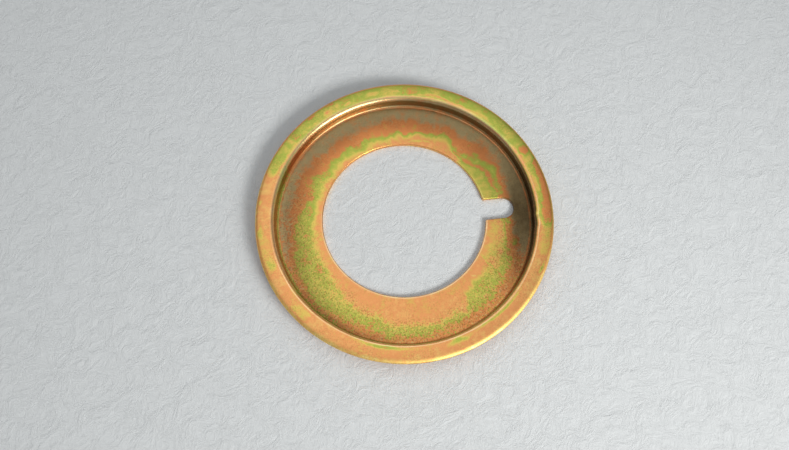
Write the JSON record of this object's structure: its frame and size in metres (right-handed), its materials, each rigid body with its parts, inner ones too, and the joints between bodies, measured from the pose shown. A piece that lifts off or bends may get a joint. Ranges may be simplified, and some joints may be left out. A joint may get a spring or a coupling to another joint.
{
  "type": "dished flanged washer",
  "caption": "Round pan-shaped sheet-steel washer with an outward-turned rim, a large central bore and a round-ended key slot opening into the bore.",
  "frame": {"origin": "on the bore's axis, in the plane of the web's underside, the face the washer lies on", "axes": "+Z along the bore's axis, out of the dish; +X through the middle of the key slot"},
  "size_m": [0.1, 0.1, 0.006],
  "materials": {
    "yellow_zinc_steel": "iridescent yellow chromate on zinc-plated pressed steel, satin"
  },
  "bodies": {
    "root": {"pressed_washer": "yellow_zinc_steel"}
  },
  "joints": []
}
